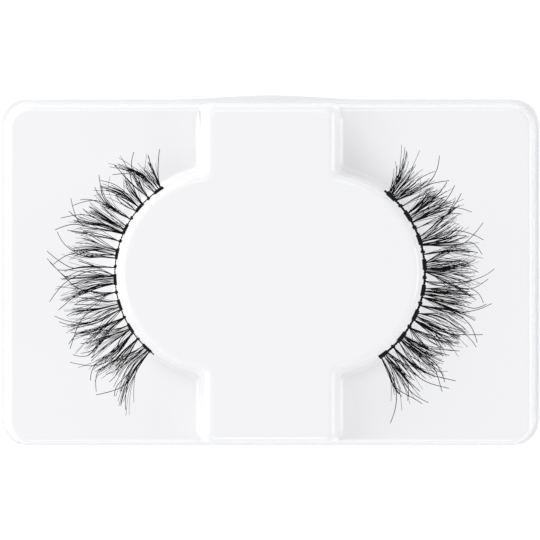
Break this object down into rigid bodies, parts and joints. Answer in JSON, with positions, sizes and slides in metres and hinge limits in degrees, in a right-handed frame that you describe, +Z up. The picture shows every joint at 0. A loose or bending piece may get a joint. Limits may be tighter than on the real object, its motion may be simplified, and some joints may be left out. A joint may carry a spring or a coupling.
{
  "type": "pair of false eyelash strips on a moulded tray",
  "caption": "Pair of false eyelash strips held round the raised pad of a shallow moulded plastic tray, ready to be lifted off and worn.",
  "frame": {"origin": "middle of the surface that the tray rests on, under the middle of its box", "axes": "+X along the tray's long side, +Y from its front to its back, +Z up"},
  "size_m": [0.0966, 0.0628, 0.0157],
  "materials": {
    "tray_plastic": "white formed sheet, glossy",
    "lash_fibre": "black synthetic fibre, satin"
  },
  "bodies": {
    "root": {"tray": "tray_plastic", "left_lash": "lash_fibre", "right_lash": "lash_fibre"}
  },
  "joints": []
}
